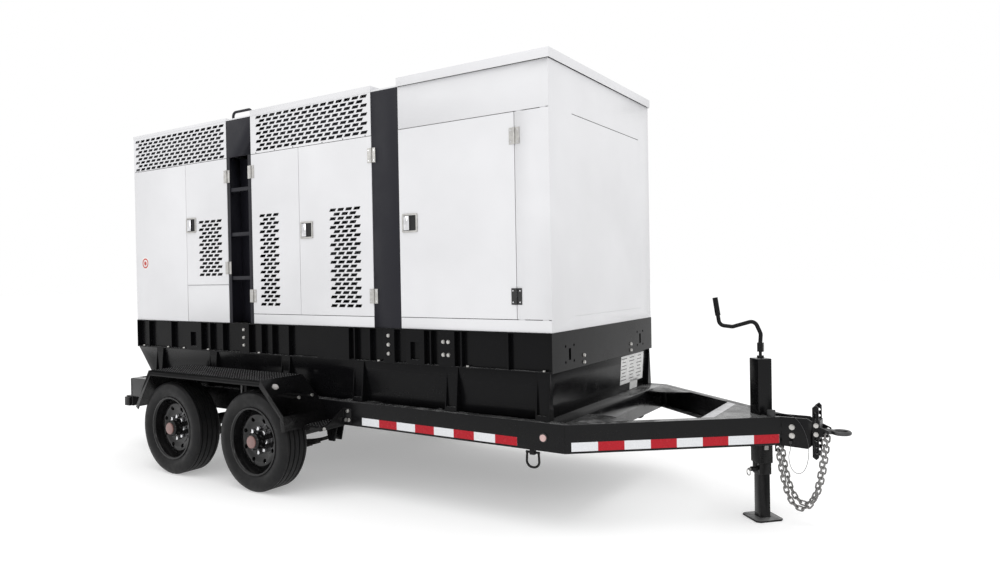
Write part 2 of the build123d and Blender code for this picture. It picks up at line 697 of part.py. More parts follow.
# ---------------------------------------------------------------- fenders and steps
def inset_profile(points, distance):
    """The profile moved inwards (down and towards the wheels) by a distance, with mitred corners."""
    moved = []
    for index, (px, pz) in enumerate(points):
        normals = []
        for a, b in zip(points[max(index - 1, 0):], points[max(index, 1):index + 2]):
            dx, dz = b[0] - a[0], b[1] - a[1]
            normals.append((dz / hypot(dx, dz), -dx / hypot(dx, dz)))
        nx = sum(normal[0] for normal in normals)
        nz = sum(normal[1] for normal in normals)
        scale = distance * 2 / (nx**2 + nz**2) if len(normals) == 2 else distance
        moved.append((px + nx * scale, pz + nz * scale))
    return moved


profile_x = [(back(station), z) for station, z in fender_profile]
under_sheet = inset_profile(profile_x, fender_sheet)
under_lip = inset_profile(profile_x, fender_lip)
fender = []
for index in range(len(profile_x) - 1):
    over = [profile_x[index], profile_x[index + 1]]
    under = [under_sheet[index + 1], under_sheet[index]]
    lip = [under_sheet[index], under_sheet[index + 1], under_lip[index + 1], under_lip[index]]
    plate = side_plate([*over, *under], (-fender_outer_y, -fender_inner_y))
    plate += side_plate(lip, (-fender_outer_y, -fender_outer_y + fender_sheet))
    fender.append(plate)
for station in (2080, 2640, 3200):
    post = block((back(station) - 35, back(station) + 35), (-847, -rail_half_width), (480, 774))
    fender.append(post)
save("fenders", both(fender))
for y in (-1000, -880):
    spot = Vector(back(slope_start[0]), y, slope_start[1]) + slope_direction * 190
    bolts.append(hex_head(tuple(spot), tuple(slope_normal), 20, 7))

step_top_z, step_skirt = 480.0, 30.0
step_x = (back(1758), back(1596))
step = block(step_x, (-1060, -rail_half_width), (step_top_z - step_skirt, step_top_z))
step -= block(
    (step_x[0] + 5, step_x[1] - 5), (-1055, -rail_half_width - 8), (step_top_z - step_skirt, step_top_z - 5)
)
step_arm = cross_plate(
    [(-1000, step_top_z), (-846, 572), (-rail_half_width, 572), (-rail_half_width, step_top_z)],
    (step_x[1] - 8, step_x[1]),
)
step_foot = block((step_x[1], step_x[1] + 70), (-846, -rail_half_width), (470, 572))
save("steps", both([step + step_arm + step_foot]))
for dx, z in ((22, 494), (50, 494), (40, 555)):
    bolts.append(hex_head((step_x[1] + dx, -846, z), outward, 20, 8))
bolts.append(hex_head((step_x[1], -1030, 462), (1, 0, 0), 20, 8))


# ---------------------------------------------------------------- fuel tank and skid base
def tank_body(inset):
    """Tapered tank volume, moved in by a wall thickness."""
    sections = []
    levels = (
        (rail_top_z + inset, tank_bottom_half_width, tank_front_stations[1], tank_rear_stations[1]),
        (band_bottom_z - inset, tank_top_half_width, tank_front_stations[0], tank_rear_stations[0]),
    )
    for z, half_width, front, rear in levels:
        x = (back(rear) + inset, back(front) - inset)
        plane = Plane.XY.offset(z) * Pos((x[0] + x[1]) / 2, 0)
        sections.append(plane * Rectangle(x[1] - x[0], 2 * (half_width - inset)))
    return loft(sections)


save("fuel_tank", [tank_body(0) - tank_body(tank_wall)])


def tank_side_y(z):
    """Distance from the centreline to the tank's sloping side at a height."""
    share = (z - rail_top_z) / (band_bottom_z - rail_top_z)
    return tank_bottom_half_width + (tank_top_half_width - tank_bottom_half_width) * share


band_web_y = band_half_width - band_web_depth
band_x = (enclosure_rear_x + 10, enclosure_front_x - 6)
inner_top = enclosure_floor_z - band_flange
inner_bottom = band_bottom_z + band_flange
channel = block(band_x, (-band_half_width, -band_web_y + 7), (band_bottom_z, enclosure_floor_z))
channel -= block(band_x, (-band_half_width, -band_web_y), (inner_bottom, inner_top))
base = [channel]
for station in (3960, 3640, 3120, 2960, 2500, 2380, 2200, 1540, 1400, 880, 640, 300):
    base.append(
        block((back(station) - 5, back(station) + 5), (-band_half_width + 3, -band_web_y), (inner_bottom, inner_top))
    )
pads = ((3430, 3230), (2750, 2640), (1900, 1590), (1275, 1180), (1080, 930), (815, 690))
for rear, front in pads:
    pad = block((back(rear), back(front)), (-band_half_width + 2, -band_web_y), (inner_bottom, inner_top))
    if (rear, front) in (pads[0], pads[4]):
        middle = back((rear + front) / 2)
        pad -= block((middle - 38, middle + 38), (-800, -band_web_y - 8), (925, 1040))
    base.append(pad)
for station in (60, 712, 1500, 2230, 3080, 3800):
    web = cross_plate(
        [
            (-tank_side_y(rail_top_z), rail_top_z), (-812, rail_top_z), (-787, band_bottom_z),
            (-tank_side_y(band_bottom_z), band_bottom_z),
        ],
        (back(station) - 45, back(station) + 45),
    )
    web -= block((back(station) - 37, back(station) + 37), (-830, -790), (rail_top_z + 30, band_bottom_z - 30))
    base.append(web)
bearers = [
    block((back(station), back(station) + 100), (-band_web_y + 7, band_web_y - 7), (1025, enclosure_floor_z))
    for station in (800, 1450, 2400, 3150)
]
front_panel = block((enclosure_front_x - 6, enclosure_front_x + 2), (-band_half_width, band_half_width),
                    (band_bottom_z, enclosure_floor_z))
for y in (-568, 557):
    front_panel -= block((enclosure_front_x - 8, enclosure_front_x + 4), (y - 14, y + 14), (950, 1020))
    for dy, dz in ((-55, -45), (55, -45), (-55, 50), (55, 50)):
        front_panel -= rod((enclosure_front_x - 8, y + dy, 985 + dz), (enclosure_front_x + 4, y + dy, 985 + dz), 9)
rear_panel = block((enclosure_rear_x + 4, enclosure_rear_x + 10), (-band_half_width, band_half_width),
                   (band_bottom_z, enclosure_floor_z))
save("skid_base", [*both(base), *bearers, front_panel, rear_panel])

pad_face_y = -band_half_width + 2
for station in (2695, 1228):
    for z in (955, 1015, 1075):
        bolts.append(hex_head((back(station), pad_face_y, z), outward, 20, 7))
for station in (735, 775):
    for z in (968, 1050):
        bolts.append(hex_head((back(station), pad_face_y, z), outward, 20, 7))
for station in (4050, 3700, 3480, 3160, 2540, 1330, 600, 60):
    bolts.append(hex_head((back(station), -band_half_width + 14, band_bottom_z + band_flange), (0, 0, 1), 16, 7))
for z in (916, 959):
    bolts.append(hex_head((enclosure_front_x + 2, -379, z), (1, 0, 0), 20, 7))
save("bolt_heads", both(bolts))


# ---------------------------------------------------------------- enclosure walls and roof
wall_y = (-enclosure_half_width, -enclosure_half_width + sheet)


def wall(rear, front, bottom, top):
    """Flat side sheet between two stations and two heights."""
    return block((back(rear), back(front)), wall_y, (bottom, top))


def slot_holes(columns, rows, x, top_z):
    """Rows of slanted air slots, every second row one slot shorter; x is the middle of the field."""
    holes = []
    for row in range(rows):
        count = columns - row % 2
        z = top_z - row * slot_row_pitch
        for column in range(count):
            middle = x + (column - (count - 1) / 2) * slot_pitch
            holes.append(
                make_face(
                    Polyline(
                        (middle - slot_length / 2, z - slot_height / 2),
                        (middle + slot_length / 2 - slot_slant, z - slot_height / 2),
                        (middle + slot_length / 2, z + slot_height / 2),
                        (middle - slot_length / 2 + slot_slant, z + slot_height / 2),
                        close=True,
                    )
                )
            )
    return holes


def slotted_sheet(x, z, holes):
    """Side sheet with air slots cut through it."""
    outline = Pos((x[0] + x[1]) / 2, (z[0] + z[1]) / 2) * Rectangle(abs(x[1] - x[0]), abs(z[1] - z[0]))
    face = outline - holes if holes else outline
    plane = Plane(origin=(0, wall_y[1], 0), x_dir=(1, 0, 0), z_dir=(0, -1, 0))
    return extrude(plane * face, amount=sheet)


def post(station, top):
    """Square door post behind the wall sheets, 40 mm wide from the given station back."""
    tube = block((back(station + 40), back(station)), (-782, -742), (enclosure_floor_z, top))
    return tube - block((back(station + 37), back(station + 3)), (-779, -745), (0, 3000))


half_gap = door_gap / 2
walls = [
    wall(black_pillar[0] - half_gap, 0, front_seam_z + half_gap, lid_bottom_z),
    wall(front_corner - half_gap, 0, sill_top_z + half_gap, front_seam_z - half_gap),
    wall(black_pillar[0] - half_gap, 0, enclosure_floor_z, sill_top_z - half_gap),
    wall(ladder_pillar[0] - half_gap, black_pillar[1] + half_gap, enclosure_floor_z, sill_top_z - half_gap),
    wall(enclosure_length, rear_door_split + half_gap, enclosure_floor_z, seam_z - half_gap),
    wall(rear_door_split - half_gap, ladder_pillar[1] + half_gap, enclosure_floor_z,
         rear_door_bottom_z - half_gap),
]
posts = [post(station, side_roof_z - 10) for station in (20, 180, 1125, 1307)]
posts += [post(station, seam_z) for station in (3410, 4080)]
save("side_walls", both([*walls, *posts]))
left_rear_wall = mirrored([wall(rear_door_split - half_gap, ladder_pillar[1] + half_gap,
                                rear_door_bottom_z - half_gap, seam_z - half_gap)])

mesh_z = (seam_z + half_gap, side_roof_z)
middle_mesh_x = (back(ladder_pillar[0] - half_gap), back(black_pillar[1] + half_gap))
rear_mesh_x = (enclosure_rear_x, back(ladder_pillar[1] + half_gap))
middle_mesh = slotted_sheet(middle_mesh_x, mesh_z, slot_holes(15, 9, back(1952), 2687))
rear_mesh = slotted_sheet(rear_mesh_x, mesh_z, slot_holes(16, 9, back(3500), 2676))
save("mesh_grilles", both([middle_mesh, rear_mesh]))


def tray(x, y, bottom, top):
    """Roof cap: a shallow tray turned upside down."""
    inside = block((x[0] + sheet, x[1] - sheet), (y[0] + sheet, y[1] - sheet), (bottom, top - sheet))
    return block(x, y, (bottom, top)) - inside


def across(half_width):
    """Y limits symmetrical about the centreline."""
    return (-half_width, half_width)


lid = tray((back(black_pillar[0]), enclosure_front_x + lid_overhang),
           across(enclosure_half_width + lid_overhang), lid_bottom_z, lid_top_z)
lid -= block((0, enclosure_front_x - 0.5), across(enclosure_half_width + 0.5), (lid_bottom_z - 1, lid_bottom_z))
pillar_cap = tray((back(black_pillar[1]), back(black_pillar[0])), across(enclosure_half_width - 2),
                  side_roof_z, side_roof_z + 12)
middle_cap = tray((back(ladder_pillar[0]), back(black_pillar[1])), across(enclosure_half_width + 2),
                  side_roof_z, middle_cap_top_z)
ladder_cap = tray((back(ladder_pillar[1]), back(ladder_pillar[0])), across(enclosure_half_width - 2),
                  side_roof_z, side_roof_z + 12)
rear_cap = tray((enclosure_rear_x - 3, back(ladder_pillar[1])), across(enclosure_half_width + 2),
                side_roof_z, rear_cap_top_z)
save("roof_caps", [lid, pillar_cap, middle_cap, ladder_cap, rear_cap])

end_half_width = enclosure_half_width - sheet
front_wall = block((enclosure_front_x - sheet, enclosure_front_x), across(end_half_width),
                   (enclosure_floor_z, lid_bottom_z))
for groove_z in (1206, 2432):
    front_wall -= block((enclosure_front_x - 1.2, enclosure_front_x + 1), (-490, 582), (groove_z - 2, groove_z + 2))
rear_wall = block((enclosure_rear_x, enclosure_rear_x + sheet), across(end_half_width),
                  (enclosure_floor_z, side_roof_z))
save("end_walls", [front_wall, rear_wall, *left_rear_wall])

pillar_y = (-enclosure_half_width + 0.5, -enclosure_half_width + 3)
recess_y = -enclosure_half_width + ladder_recess
ladder_x = (back(ladder_pillar[1] - half_gap), back(ladder_pillar[0] + half_gap))
pillars = [
    block((back(black_pillar[1] - half_gap), back(black_pillar[0] + half_gap)), pillar_y,
          (enclosure_floor_z, side_roof_z)),
    block(ladder_x, pillar_y, (ladder_top_z, side_roof_z)),
    block((ladder_x[0] + 3, ladder_x[1] - 3), (recess_y, recess_y + 3), (enclosure_floor_z, ladder_top_z)),
    block((ladder_x[0], ladder_x[0] + 3), (pillar_y[1], recess_y + 3), (enclosure_floor_z, ladder_top_z)),
    block((ladder_x[1] - 3, ladder_x[1]), (pillar_y[1], recess_y + 3), (enclosure_floor_z, ladder_top_z)),
]
for edge in ((ladder_x[0], ladder_x[0] + ladder_flange), (ladder_x[1] - ladder_flange, ladder_x[1])):
    pillars.append(block(edge, pillar_y, (enclosure_floor_z, ladder_top_z)))
for z in rung_heights:
    pillars.append(block((ladder_x[0] + 3, ladder_x[1] - 3), (-779, -744), (z - 14, z + 14)))
for mesh_x in (middle_mesh_x, rear_mesh_x):
    pillars.append(block((mesh_x[0] + 5, mesh_x[1] - 5), (-738, -735), (seam_z, side_roof_z - 10)))
handle_y, handle_top = -740.0, side_roof_z + 70
grab_handle = swept_bar(
    [
        (ladder_x[0] + 34, handle_y, side_roof_z + 12), (ladder_x[0] + 34, handle_y, handle_top),
        (ladder_x[1] - 34, handle_y, handle_top), (ladder_x[1] - 34, handle_y, side_roof_z + 12),
    ],
    10.0, 32.0,
)
pillars.append(grab_handle)
save("pillars_and_ladder", both(pillars))


# ---------------------------------------------------------------- doors, hinges and latches
hinge_axis_y = -(enclosure_half_width + hinge_r)


def hinge_half(x, z, towards, upper):
    """Leaf and half knuckle of a hinge on the right side; towards is -1 (rearwards) or +1."""
    clearance = hinge_clearance / 2
    span = (z + clearance, z + hinge_height / 2) if upper else (z - hinge_height / 2, z - clearance)
    knuckle = rod((x, hinge_axis_y, span[0]), (x, hinge_axis_y, span[1]), hinge_r)
    near, far = x + towards * (hinge_r + hinge_clearance), x + towards * (hinge_r + hinge_leaf)
    leaf_y = (-enclosure_half_width - sheet, -enclosure_half_width)
    plate = block((near, far), leaf_y, (z - hinge_height / 2, z + hinge_height / 2))
    bridge = block((x, near), leaf_y, span)
    return knuckle + plate + bridge


latch_width, latch_height, latch_rim, latch_depth = 125.0, 122.0, 11.0, 7.0
paddle_width, paddle_gap, paddle_half_height = 46.0, 2.0, 46.0


def latch_frame(x, z):
    """Raised rounded frame of a flush paddle latch."""
    plane = Plane(origin=(x, -enclosure_half_width, z), x_dir=(1, 0, 0), z_dir=(0, -1, 0))
    outer = plane * RectangleRounded(latch_width, latch_height, 10)
    inner = plane * RectangleRounded(latch_width - 2 * latch_rim, latch_height - 2 * latch_rim, 5)
    return extrude(outer - inner, amount=latch_depth)


def latch_paddle(x, z):
    """Paddle hinged at its rear edge, filling the rear part of the frame."""
    rear = x - latch_width / 2 + latch_rim + paddle_gap
    y = -enclosure_half_width - latch_depth
    ends = (z - paddle_half_height, z + paddle_half_height)
    paddle = block((rear, rear + paddle_width), (y, y + 3), ends)
    knuckle = rod((rear + 3, y + 3.2, ends[0]), (rear + 3, y + 3.2, ends[1]), 2.8)
    return paddle + knuckle


def door(rear, front, bottom, top, holes=(), hinge_at=None, hinge_zs=(), latch_at=None):
    """Folded sheet door of the right side, with its hinge halves and latch frame."""
    x = (back(rear) + half_gap, back(front) - half_gap)
    z = (bottom + half_gap, top - half_gap)
    panel = slotted_sheet(x, z, list(holes))
    inner_y = wall_y[1] + tray_depth
    edge = 3.0
    rim = block(x, (wall_y[1], inner_y), z)
    rim -= block((x[0] + edge, x[1] - edge), (wall_y[1], inner_y), (z[0] + edge, z[1] - edge))
    panel += rim
    hinge_x = x[1] + half_gap if hinge_at == "front" else x[0] - half_gap
    towards = -1 if hinge_at == "front" else 1
    for hinge_z in hinge_zs:
        panel += hinge_half(hinge_x, hinge_z, towards, upper=True)
    if latch_at is not None:
        panel += latch_frame(*latch_at)
    return panel


def fixed_hinges(station, towards, heights):
    """Hinge halves that stay on the walls."""
    return [hinge_half(back(station), z, towards, upper=False) for z in heights]


rear_hinge_zs = (1555.0, 2270.0)
middle_hinge_zs = (1336.0, 2282.0)
rear_latch = (back(3332), rear_latch_z)
middle_latch = (back(1984), latch_z)
front_latch = (back(1030), latch_z)

rear_slots = slot_holes(4, 15, back(3091), 1932)
middle_rear_slots = slot_holes(3, 23, back(2388), 1942)
middle_front_slots = slot_holes(4, 23, back(1610), 1938)

door_rear = door(rear_door_split, ladder_pillar[1], rear_door_bottom_z, seam_z, rear_slots,
                 "front", rear_hinge_zs, rear_latch)
door_middle_rear = door(ladder_pillar[0], middle_split, sill_top_z, seam_z, middle_rear_slots,
                        "rear", middle_hinge_zs)
door_middle_front = door(middle_split, black_pillar[1], sill_top_z, seam_z, middle_front_slots,
                         "front", middle_hinge_zs, middle_latch)
door_front = door(black_pillar[0], front_corner, sill_top_z, front_seam_z, (),
                  "front", middle_hinge_zs, front_latch)
save("door_rear_right", [door_rear])
save("latch_rear_right", [latch_paddle(*rear_latch)])
shared = {
    "door_middle_rear": door_middle_rear,
    "door_middle_front": door_middle_front,
    "door_front": door_front,
    "latch_middle": latch_paddle(*middle_latch),
    "latch_front": latch_paddle(*front_latch),
}
for name, solid in shared.items():
    save(f"{name}_right", [solid])
    save(f"{name}_left", mirrored([solid]))

wall_hinges = [
    *fixed_hinges(ladder_pillar[0], -1, middle_hinge_zs),
    *fixed_hinges(black_pillar[1], 1, middle_hinge_zs),
    *fixed_hinges(front_corner, 1, middle_hinge_zs),
]
rear_door_hinges = fixed_hinges(ladder_pillar[1], 1, rear_hinge_zs)
save("wall_hinges", [*both(wall_hinges), *rear_door_hinges])


# ---------------------------------------------------------------- machinery inside
shaft_z = 1500.0
alternator = rod((back(1050), 0, shaft_z), (back(380), 0, shaft_z), 290)
alternator += rod((back(380), 0, shaft_z), (back(330), 0, shaft_z), 220)
alternator += block((back(900), back(480)), (-200, 200), (1700, 1930))
for y in (-230, 230):
    alternator += block((back(850), back(700)), (y - 60, y + 60), (enclosure_floor_z, shaft_z - 150))
save("alternator", [alternator])

engine = block((back(2450), back(1120)), (-230, 230), (1290, 1720))
engine += block((back(2400), back(1170)), (-150, 150), (1720, 1900))
engine += block((back(2380), back(1200)), (-170, 170), (1150, 1290))
engine += rod((back(1120), 0, shaft_z), (back(1050), 0, shaft_z), 300)
engine += rod((back(2535), 0, shaft_z), (back(2450), 0, shaft_z), 45)
for station in range(1250, 2400, 190):
    engine += rod((back(station), -60, 1900), (back(station), -60, 1950), 62)
for station in (1400, 2350):
    for y in (-280, 280):
        engine += block((back(station) - 50, back(station) + 50), (y - 60, y + 60), (enclosure_floor_z, 1420))
engine += rod((back(2300), -310, 1660), (back(1300), -310, 1660), 60)
for station in (1350, 1550, 1750, 1950, 2150):
    engine += rod((back(station), -310, 1660), (back(station), -225, 1660), 28)
save("engine", [engine])

fan = rod((back(2590), 0, shaft_z), (back(2535.5), 0, shaft_z), 80)
for number in range(7):
    blade = Pos(back(2563), 0, shaft_z) * Rot(360 / 7 * number, 0, 0) * Pos(0, 0, 215)
    fan += blade * Rot(0, 0, 30) * Box(6, 110, 300)
save("cooling_fan", [fan])

radiator = block((back(2830), back(2700)), (-560, 560), (enclosure_floor_z, 2250))
radiator -= block((back(2840), back(2790)), (-500, 500), (1200, 2180))
save("radiator", [radiator])

silencer = rod((back(3850), 0, 2350), (back(2980), 0, 2350), 150)
silencer += rod((back(2980), 0, 2350), (back(2900), 0, 2350), 60)
for station in (3150, 3700):
    silencer += block((back(station) - 20, back(station) + 20), (-160, 160), (2350, side_roof_z))
silencer -= rod((back(3840), 0, 2350), (back(2890), 0, 2350), 55)
save("silencer", [silencer])

panel = block((back(760), back(300)), (-640, -430), (1480, 2200))
panel -= block((back(740), back(320)), (-641, -628), (1500, 2180))
for station in (740, 340):
    panel += block((back(station) - 20, back(station) + 20), (-560, -520), (enclosure_floor_z, 1480))
save("control_panel", [panel])
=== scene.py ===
"""Looks of the towable diesel generator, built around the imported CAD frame.  Metres, +X forward."""

import math

import bpy
from mathutils import Matrix, Vector


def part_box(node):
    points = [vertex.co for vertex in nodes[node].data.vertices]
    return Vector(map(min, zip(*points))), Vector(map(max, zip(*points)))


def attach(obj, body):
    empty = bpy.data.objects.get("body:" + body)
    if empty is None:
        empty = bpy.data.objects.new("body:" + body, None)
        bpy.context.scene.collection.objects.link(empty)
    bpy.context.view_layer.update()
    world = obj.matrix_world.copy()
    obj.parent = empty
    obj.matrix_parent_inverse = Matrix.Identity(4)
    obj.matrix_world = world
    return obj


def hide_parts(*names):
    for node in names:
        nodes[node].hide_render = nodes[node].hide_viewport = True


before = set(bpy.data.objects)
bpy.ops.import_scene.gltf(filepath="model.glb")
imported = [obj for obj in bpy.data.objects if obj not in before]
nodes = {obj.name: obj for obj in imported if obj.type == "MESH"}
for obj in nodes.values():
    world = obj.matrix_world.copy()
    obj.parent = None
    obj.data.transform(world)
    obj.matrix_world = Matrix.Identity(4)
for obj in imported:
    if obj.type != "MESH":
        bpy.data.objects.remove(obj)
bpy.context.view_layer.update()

# Driving places and sizes of the CAD parts, in metres.  A station is a distance back from the
# enclosure's front face.
ENCLOSURE_FRONT_X = 1.395
SIDE_Y = 0.785                  # outer face of the enclosure's side sheets
SEAM_SCREW_Z = 2.4215           # row of screws under the mesh bands
LATCH_POCKET = (0.101, 0.098)   # width and height inside a latch frame
PADDLE_TO_POCKET = 0.0265       # from the paddle's middle to the pocket's middle
HINGE_LEAF = 0.003              # thickness of a hinge leaf
TONGUE_ANGLE = math.radians(38.28)
TONGUE_TAPE_START = 0.036       # from the rails' bend, along the tongue rail
CROSS_BAR_X = (2.09, 2.158)     # galvanised bar across the tongue
JACK_X = 2.367
RAIL_LAMP_RADIUS, RAIL_LAMP_Z = 0.026, 0.534
RAIL_LENS_RADIUS = 0.0203
TAPE_CELL = 6 * 0.0254          # six inches
UPRIGHT = (Vector((1, 0, 0)), Vector((0, 1, 0)), Vector((0, 0, 1)))


def back(station):
    """X of a station."""
    return ENCLOSURE_FRONT_X - station


# Hinge lines, alike on both sides: x, the door that swings on it, the side of the line that the door
# lies on (1 is forwards), and the hinges' heights.
HINGES = (
    (back(0.231), "door_front", -1, (1.336, 2.282)),
    (back(1.353), "door_middle_front", -1, (1.336, 2.282)),
    (back(2.581), "door_middle_rear", 1, (1.336, 2.282)),
    (back(2.869), "door_rear", -1, (1.555, 2.270)),
)


# ---------------------------------------------------------------- camera, light and floor
def place_camera():
    """Camera ahead of the trailer and to its right, 1.47 m above the ground."""
    yaw, pitch, roll = math.radians(32.432), math.radians(0.582), math.radians(-0.991)
    backward = Vector((
        math.sin(yaw) * math.cos(pitch),
        -math.cos(yaw) * math.cos(pitch),
        math.sin(pitch),
    ))
    right = (-backward).cross(Vector((0, 0, 1))).normalized()
    up = backward.cross(right)
    image_right = right * math.cos(roll) + up * math.sin(roll)
    image_up = up * math.cos(roll) - right * math.sin(roll)
    data = bpy.data.cameras.new("camera")
    data.sensor_width = 36.0
    data.lens = 25.936
    data.clip_end = 200.0
    camera = bpy.data.objects.new("camera", data)
    bpy.context.scene.collection.objects.link(camera)
    turn = Matrix((image_right, image_up, backward)).transposed().to_4x4()
    camera.matrix_world = Matrix.Translation((3.3577, -4.4203, 1.4694)) @ turn
    bpy.context.scene.camera = camera


def area_light(name, place, target, size, power):
    """Large soft light aimed at a point."""
    data = bpy.data.lights.new(name, "AREA")
    data.shape = "RECTANGLE"
    data.size, data.size_y = size
    data.energy = power
    light = bpy.data.objects.new(name, data)
    bpy.context.scene.collection.objects.link(light)
    light.location = place
    light.rotation_euler = (Vector(target) - Vector(place)).to_track_quat("-Z", "Y").to_euler()


def build_studio():
    """White room: pale floor, bright surroundings, one overhead and two side soft boxes."""
    white = (1.0, 1.0, 1.0, 1.0)
    world = bpy.data.worlds.new("studio")
    bpy.context.scene.world = world
    world.use_nodes = True
    background = world.node_tree.nodes["Background"]
    background.inputs["Color"].default_value = white
    background.inputs["Strength"].default_value = 1.0
    bpy.ops.mesh.primitive_plane_add(size=160, location=(0, 0, -0.0005))
    floor = bpy.context.object
    floor.name = "studio_floor"
    material = bpy.data.materials.new("studio_floor")
    material.use_nodes = True
    shader = material.node_tree.nodes["Principled BSDF"]
    shader.inputs["Base Color"].default_value = (0.75, 0.75, 0.75, 1)
    shader.inputs["Emission Color"].default_value = white
    shader.inputs["Emission Strength"].default_value = 0.33
    shader.inputs["Roughness"].default_value = 1.0
    shader.inputs["Specular IOR Level"].default_value = 0.0
    floor.data.materials.append(material)
    area_light("overhead", (0.5, 0, 8.0), (0, 0, 1), (10, 6), 230)
    area_light("front_side", (5.5, -6.0, 4.2), (0, 0, 1.4), (3, 2), 45)
    area_light("rear_side", (-6.0, -6.5, 4.5), (-0.5, 0, 1.3), (3, 2), 35)
    bpy.context.scene.view_settings.view_transform = "Standard"


# ---------------------------------------------------------------- material kit
class Shader:
    """Small helper round one Principled material."""

    def __init__(self, name):
        self.material = bpy.data.materials.new(name)
        self.material.use_nodes = True
        self.tree = self.material.node_tree
        self.principled = self.tree.nodes["Principled BSDF"]
        self.place = self.node("ShaderNodeTexCoord").outputs["Object"]
        self.relief = None      # normal that the last bump gives

    def node(self, kind):
        return self.tree.nodes.new(kind)

    def link(self, source, socket):
        self.tree.links.new(source, socket)

    def set(self, **values):
        """Sets sockets by name, with underscores for spaces."""
        for name, value in values.items():
            self.principled.inputs[name.replace("_", " ")].default_value = value

    def stretched(self, scale):
        """Object coordinates scaled separately along each axis."""
        mapping = self.node("ShaderNodeMapping")
        self.link(self.place, mapping.inputs["Vector"])
        mapping.inputs["Scale"].default_value = scale
        return mapping.outputs["Vector"]

    def noise(self, scale, detail=4.0, roughness=0.55, vector=None):
        """Cloudy value from 0 to 1, with its middle near a half."""
        texture = self.node("ShaderNodeTexNoise")
        texture.inputs["Scale"].default_value = scale
        texture.inputs["Detail"].default_value = detail
        texture.inputs["Roughness"].default_value = roughness
        self.link(vector or self.place, texture.inputs["Vector"])
        return texture.outputs["Fac"]

    def cells(self, scale):
        """Distance from the nearest of many scattered points."""
        texture = self.node("ShaderNodeTexVoronoi")
        texture.inputs["Scale"].default_value = scale
        self.link(self.place, texture.inputs["Vector"])
        return texture.outputs["Distance"]

    def between(self, value, low, high, to_low=0.0, to_high=1.0):
        """Maps a value from one range to another, clamped."""
        ramp = self.node("ShaderNodeMapRange")
        self.link(value, ramp.inputs["Value"])
        ends = {"From Min": low, "From Max": high, "To Min": to_low, "To Max": to_high}
        for name, number in ends.items():
            ramp.inputs[name].default_value = number
        return ramp.outputs["Result"]

    def maths(self, operation, first, second):
        """Arithmetic on sockets or numbers."""
        node = self.node("ShaderNodeMath")
        node.operation = operation
        for socket, value in zip(node.inputs, (first, second)):
            if isinstance(value, (int, float)):
                socket.default_value = value
            else:
                self.link(value, socket)
        return node.outputs["Value"]

    def blend(self, factor, first, second):
        """Mix of two colours, each a tuple or a socket."""
        node = self.node("ShaderNodeMix")
        node.data_type = "RGBA"
        self.link(factor, node.inputs["Factor"])
        for socket, value in ((node.inputs["A"], first), (node.inputs["B"], second)):
            if isinstance(value, tuple):
                socket.default_value = (*value, 1.0)
            else:
                self.link(value, socket)
        return node.outputs["Result"]

    def axis(self, name):
        """One component of the object coordinates, in metres."""
        split = self.node("ShaderNodeSeparateXYZ")
        self.link(self.place, split.inputs["Vector"])
        return split.outputs[name]

    def upward(self):
        """How far the surface looks upwards, from -1 to 1."""
        geometry = self.node("ShaderNodeNewGeometry")
        split = self.node("ShaderNodeSeparateXYZ")
        self.link(geometry.outputs["Normal"], split.inputs["Vector"])
        return split.outputs["Z"]

    def colour(self, value):
        """Sets the base colour to a tuple or to a socket."""
        if isinstance(value, tuple):
            self.set(Base_Color=(*value, 1.0))
        else:
            self.link(value, self.principled.inputs["Base Color"])

    def rough(self, low, high, scale, vector=None):
        """Roughness that wanders between two values."""
        spread = self.noise(scale, 5.0, 0.6, vector)
        self.link(self.between(spread, 0.3, 0.7, low, high), self.principled.inputs["Roughness"])

    def bump(self, height, depth):
        """Adds a relief of the given depth in metres."""
        node = self.node("ShaderNodeBump")
        node.inputs["Strength"].default_value = 1.0
        node.inputs["Distance"].default_value = depth
        self.link(height, node.inputs["Height"])
        if self.relief is not None:
            self.link(self.relief, node.inputs["Normal"])
        self.relief = node.outputs["Normal"]
        self.link(self.relief, self.principled.inputs["Normal"])


def darker(colour, share):
    """A colour with each part multiplied by a share."""
    return tuple(value * share for value in colour)


ROAD_DUST = (0.25, 0.235, 0.21)
# Light grey painted on upward faces: a painted highlight for the sheen they catch.
TOP_SHEEN_GREY = (0.42, 0.42, 0.42)


def painted(name, colour, roughness, shine=0.5, dust=0.0, dust_top=1.0, top_sheen=0.0):
    """Sprayed paint: orange peel, faint sheet waviness and wandering gloss.

    dust is the share of road dust near the ground, below the height dust_top.  The last argument is
    the
    share of painted highlight: a patchy light grey on the faces that look upwards, for their sheen.
    """
    orange_peel, waviness = 0.00002, 0.0012
    s = Shader(name)
    mottle = s.between(s.noise(1.3, 3.0), 0.35, 0.65, 0.0, 1.0)
    base = s.blend(mottle, colour, darker(colour, 0.93))
    low_down = s.between(s.axis("Z"), dust_top, 0.25, 0.0, dust)
    patches = s.between(s.noise(9.0, 8.0, 0.7), 0.42, 0.75, 0.15, 1.0)
    base = s.blend(s.maths("MULTIPLY", low_down, patches), base, ROAD_DUST)
    # Painted highlight: faces that look upwards turn a patchy light grey.
    if top_sheen:
        upward = s.between(s.upward(), 0.8, 1.0, 0.0, top_sheen)
        base = s.blend(s.maths("MULTIPLY", upward, patches), base, TOP_SHEEN_GREY)
    s.colour(base)
    s.rough(roughness[0], roughness[1], 6.0)
    s.bump(s.noise(420.0, 2.0), orange_peel)
    s.bump(s.noise(2.2, 1.0), waviness)
    s.set(Specular_IOR_Level=shine)
    return s.material


